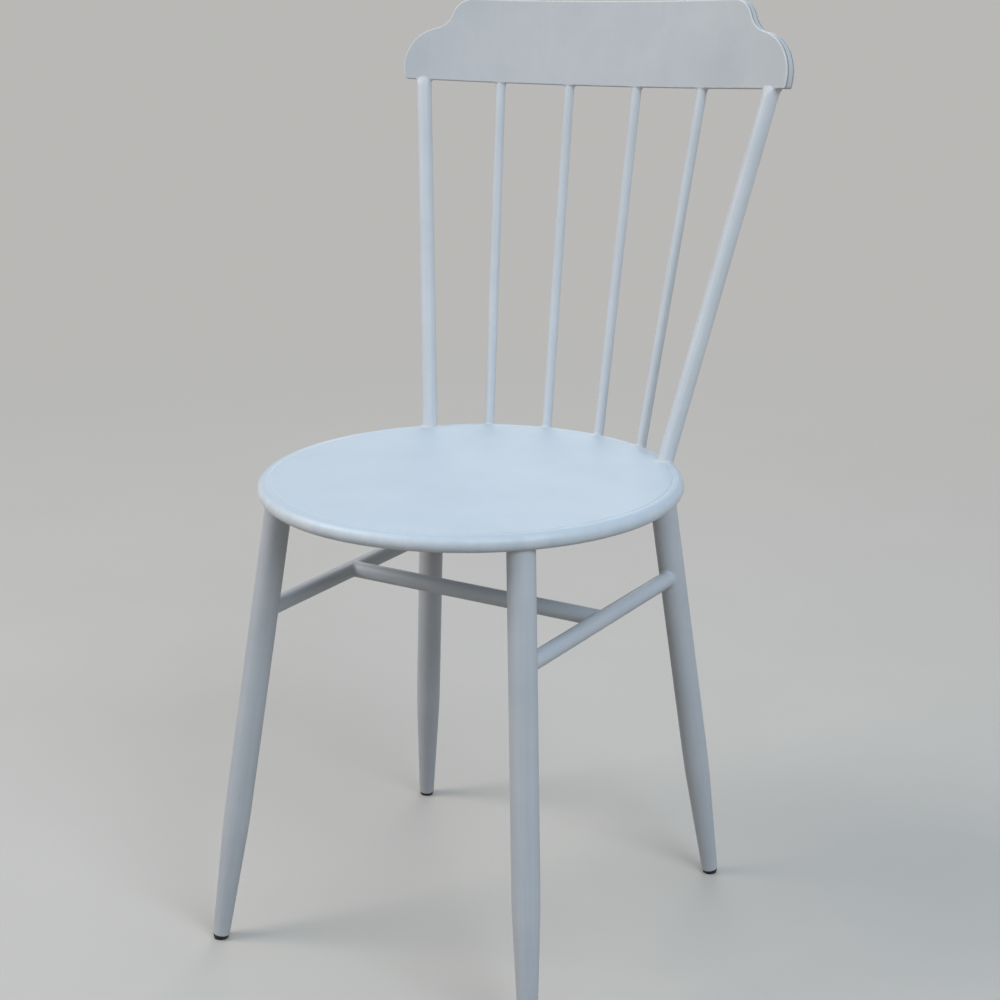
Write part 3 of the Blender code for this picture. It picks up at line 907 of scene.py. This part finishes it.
def makeCrestPiece(name, profile, filled, node, edgeRubAndHighlight):
    # profile is (inset, depth, rub and highlight, shade) round the outline, from one face to the other; the rub
    # paints highlights on the rounded edges, the shade darkens the seams
    shape = bmesh.new()
    rubAndHighlightLayer = shape.verts.layers.float.new("rub_and_highlight")
    shadeLayer = shape.verts.layers.float.new("shade")
    rings = []
    for inset, depth, rub_and_highlight, shade in profile:
        ring = [shape.verts.new((x, depth, y)) for x, y in crestOutline(inset)]
        for vert in ring:
            vert[rubAndHighlightLayer] = rub_and_highlight * edgeRubAndHighlight
            vert[shadeLayer] = shade
        rings.append(ring)
    count = len(rings[0])
    pairs = list(zip(rings, rings[1:]))
    if filled:
        shape.faces.new(rings[0])
        shape.faces.new(rings[-1])
    else:
        pairs.append((rings[-1], rings[0]))
    for a, b in pairs:
        for j in range(count):
            k = (j + 1) % count
            shape.faces.new((a[j], a[k], b[k], b[j]))
    # the flat shape is cut into strips, then bent
    strips = math.floor(crest["halfLength"] / crest["strip"])
    for i in range(-strips, strips + 1):
        cutShape(shape, (i * crest["strip"], 0, 0), (1, 0, 0), dist=1e-6)
    for vert in shape.verts:
        vert.co = crestPoint(vert.co.x, vert.co.z, vert.co.y)
    rub_and_highlight = [v[rubAndHighlightLayer] for v in shape.verts]
    shade = [v[shadeLayer] for v in shape.verts]
    verts, faces = takeMesh(shape)
    addPiece(name, verts, faces, crestPlace, crestLook, [node], rub_and_highlight, shade, crest["sharp"])


def sheetProfile(side, seamWear):
    # from the outer face, over its rounded edge, into the seam; side is -1 for the front sheet
    half = crest["thickness"] / 2
    inner = half - crest["sheet"]
    outer = crest["outerRounding"]
    small = crest["sheetSeamRounding"]
    profile = [(outer + crest["faceMargin"], side * half, 0.0, 0.0)]
    for i in range(crest["edgeSteps"] + 1):
        angle = math.pi / 2 * i / crest["edgeSteps"]
        depth = side * half - side * outer * (1 - math.cos(angle))
        profile.append((outer * (1 - math.sin(angle)), depth, 1.0, 0.0))
    seam = [(0, side * (inner + small)), (small, side * inner), (crest["seamReach"], side * inner)]
    return profile + [(*point, *wear) for point, wear in zip(seam, seamWear)]


def makeCrest():
    front = sheetProfile(-1, crestWearAndPaintedLight["frontSeam"])
    rear = sheetProfile(1, crestWearAndPaintedLight["rearSeam"])[::-1]
    makeCrestPiece("crestFrontSheet", front, True, "crest_front_sheet", crestWearAndPaintedLight["sheetRubAndHighlight"])
    makeCrestPiece("crestRearSheet", rear, True, "crest_rear_sheet", crestWearAndPaintedLight["sheetRubAndHighlight"])
    depth = crest["thickness"] / 2 - crest["sheet"] - crest["seam"]
    inset = crest["bandInset"]
    wall = inset + crest["bandWall"]
    near = crest["bandFrontRounding"]
    far = crest["bandRearRounding"]
    band = [(inset + near * i, -depth + near * d, rub_and_highlight, shade) for i, d, rub_and_highlight, shade in crestWearAndPaintedLight["bandFront"]]
    band.append((inset, *crestWearAndPaintedLight["bandMiddle"]))
    band += [(inset + far * i, depth - far * d, rub_and_highlight, shade) for i, d, rub_and_highlight, shade in crestWearAndPaintedLight["bandRear"]]
    band += [(wall, face, *crestWearAndPaintedLight["bandInside"]) for face in (depth, -depth)]
    makeCrestPiece("crestEdgeBand", band, False, "crest_edge_band", crestWearAndPaintedLight["bandRubAndHighlight"])


makeCrest()
print("crest made")

# Posts and spindles of the back, in metres and degrees
back = {
    "postRadius": 0.008,
    "postAngle": 45.4,
    "postReach": 0.1997,
    "postNotch": 0.003,
    "postFillet": 0.002,
    "postSlope": 0.009,
    "spindleRadius": 0.005,
    "spindleOutset": 0.006,
    "spindleStep": 17.9,
    "spindlePitch": 0.0768,
    "spindleFillet": 0.002,
    "crestFillet": 0.003,
    "baseRounding": 0.3,  # a share of the radius
}


def onCrest(along, up):
    return crestPlace @ crestPoint(along, up, 0)


def onRim(radius, angle, side):
    turn = math.radians(angle)
    return Vector((side * radius * math.sin(turn), radius * math.cos(turn), seat["top"]))


def makeUpright(name, base, top, radius, fillet, node, slope=0.0, stub=0.0):
    start = base - (top - base).normalized() * seat["tubeRadius"]
    low = joint(toSeatPuck, fillet, radius * back["baseRounding"])
    high = joint(toCrest, back["crestFillet"], 0.0, slope, stub)
    makeTube(name, start, top, radius, low, high, backLook, [node])


for sideName, side in sides.items():
    label = sideName.capitalize()
    base = onRim(seat["hoopRadius"], back["postAngle"], side)
    top = onCrest(side * back["postReach"], back["postNotch"])
    makeUpright(
        f"backPost{label}", base, top, back["postRadius"], back["postFillet"],
        f"back_post_{sideName}", back["postSlope"], back["postNotch"],
    )
    for count, which in enumerate(("inner", "outer")):
        base = onRim(seat["hoopRadius"] + back["spindleOutset"], back["spindleStep"] * (count + 0.5), side)
        top = onCrest(side * back["spindlePitch"] * (count + 0.5), crest["sheet"])
        makeUpright(
            f"spindle{which.capitalize()}{label}", base, top, back["spindleRadius"], back["spindleFillet"],
            f"spindle_{which}_{sideName}",
        )
print("back made")

# Floor, light and camera
stageValues = {
    "floorColour": (0.66, 0.605, 0.54),
    "floorMottle": (0.635, 0.582, 0.52),
    "floorNoise": {"scale": 3, "detail": 5, "roughness": 0.6, "fade": (0.3, 0.7)},
    "floorRings": (0.5, 1.5, 4.0, 12.0, 40.0),
    "floorSteps": 96,
    "floorDrop": 0.0001,
    "floorShader": {"Roughness": 0.85, "Specular IOR Level": 0.2},
    "floorBounce": (0.075, 0.06, 0.035),
    "feetBounce": (0.20, 0.172, 0.14),
    "feetIn": (0.12, 0.28),  # out from the middle, the ring of the paler bounce comes and goes
    "feetOut": (0.45, 1.2, 1.0, 0.0),
    "fade": (0.5, 3.0),
    "backgroundColour": (0.485, 0.480, 0.468),
    "zenithColour": (0.47, 0.58, 0.72),
    "horizonColour": (0.18, 0.175, 0.165),
}


def seenRays(tree):
    # 1 where the camera sees the surface, also by way of a reflection or through glass
    path = tree.nodes.new("ShaderNodeLightPath")
    seen = mathNode(tree, "MAXIMUM", path.outputs["Is Camera Ray"], path.outputs["Is Glossy Ray"])
    return mathNode(tree, "MAXIMUM", seen, path.outputs["Is Transmission Ray"])


def makeFloor():
    profile = [(0, 0)] + [(radius, 0) for radius in stageValues["floorRings"]]
    verts, faces = turnedMesh(profile, stageValues["floorSteps"])
    mesh = bpy.data.meshes.new("floor")
    mesh.from_pydata([tuple(v) for v in verts], [], [tuple(reversed(face)) for face in faces])
    floor = addObject("floor", mesh)
    floor.location.z = -stageValues["floorDrop"]
    material, tree, shader = newMaterial("paleFloor")
    place = tree.nodes.new("ShaderNodeTexCoord").outputs["Object"]
    cloud = noiseLayer(tree, place, stageValues["floorNoise"])
    shown = mixNode(tree, cloud, stageValues["floorColour"], stageValues["floorMottle"])
    length = tree.nodes.new("ShaderNodeVectorMath")
    length.operation = "LENGTH"
    tree.links.new(place, length.inputs[0])
    reach = length.outputs["Value"]
    # the eye sees the pale floor; the chair takes a darker, earthy bounce from it, but a paler one round its feet
    comes, goes = [rangeNode(tree, reach, *stageValues[key]) for key in ("feetIn", "feetOut")]
    nearFeet = mathNode(tree, "MULTIPLY", comes, goes)
    bounce = mixNode(tree, nearFeet, stageValues["floorBounce"], stageValues["feetBounce"])
    tree.links.new(mixNode(tree, seenRays(tree), bounce, shown), shader.inputs["Base Color"])
    setInputs(shader, stageValues["floorShader"])
    # far from the chair the floor fades into the backdrop's colour
    glow = tree.nodes.new("ShaderNodeEmission")
    glow.inputs["Color"].default_value = (*stageValues["backgroundColour"], 1)
    showMix(tree, rangeNode(tree, reach, *stageValues["fade"]), shader, glow, "Material Output")
    mesh.materials.append(material)


def makeWorld():
    world = bpy.data.worlds.new("paleRoom")
    world.use_nodes = True
    tree = world.node_tree
    # soft light that is cooler and stronger from above than from the sides
    sky = tree.nodes["Background"]
    height = tree.nodes.new("ShaderNodeSeparateXYZ")
    tree.links.new(tree.nodes.new("ShaderNodeTexCoord").outputs["Generated"], height.inputs[0])
    share = rangeNode(tree, height.outputs["Z"], 0, 1)
    light = mixNode(tree, share, stageValues["horizonColour"], stageValues["zenithColour"])
    tree.links.new(light, sky.inputs["Color"])
    shown = tree.nodes.new("ShaderNodeBackground")
    shown.inputs["Color"].default_value = (*stageValues["backgroundColour"], 1)
    showMix(tree, seenRays(tree), sky, shown, "World Output")
    bpy.context.scene.world = world


lamps = {
    "softKey": {"place": (-2.4, -1.8, 2.8), "size": 2.0, "power": 58, "colour": (1.0, 0.99, 0.97)},
    "coolFill": {"place": (2.7, -1.3, 2.5), "size": 2.2, "power": 52, "colour": (0.72, 0.87, 1.0)},
    "backLight": {"place": (-1.2, 2.6, 2.4), "size": 2.0, "power": 18, "colour": (1.0, 0.98, 0.94)},
}
lampAim = Vector((0, 0, 0.42))


def makeLamps():
    for name, values in lamps.items():
        light = bpy.data.lights.new(name, "AREA")
        light.shape = "DISK"
        light.size = values["size"]
        light.energy = values["power"]
        light.color = values["colour"]
        lamp = addObject(name, light)
        lamp.location = values["place"]
        lamp.rotation_euler = (lampAim - Vector(values["place"])).to_track_quat("-Z", "Y").to_euler()


cameraValues = {
    "place": (0.8516, -1.3315, 0.8888),
    "yaw": 0.5518,
    "pitch": -0.2864,
    "roll": -0.0043,
    "lens": 62.65,
    "sensor": 36.0,
}


def makeCamera():
    data = bpy.data.cameras.new("camera")
    data.lens = cameraValues["lens"]
    data.sensor_width = cameraValues["sensor"]
    camera = addObject("camera", data)
    turn = Matrix.Rotation(cameraValues["yaw"], 4, "Z")
    turn = turn @ Matrix.Rotation(math.pi / 2 + cameraValues["pitch"], 4, "X")
    turn = turn @ Matrix.Rotation(cameraValues["roll"], 4, "Z")
    camera.matrix_world = seatPlace @ Matrix.Translation(cameraValues["place"]) @ turn
    bpy.context.scene.camera = camera


makeFloor()
makeWorld()
makeLamps()
makeCamera()
bpy.context.scene.view_settings.view_transform = "Standard"
print("floor, light and camera made")
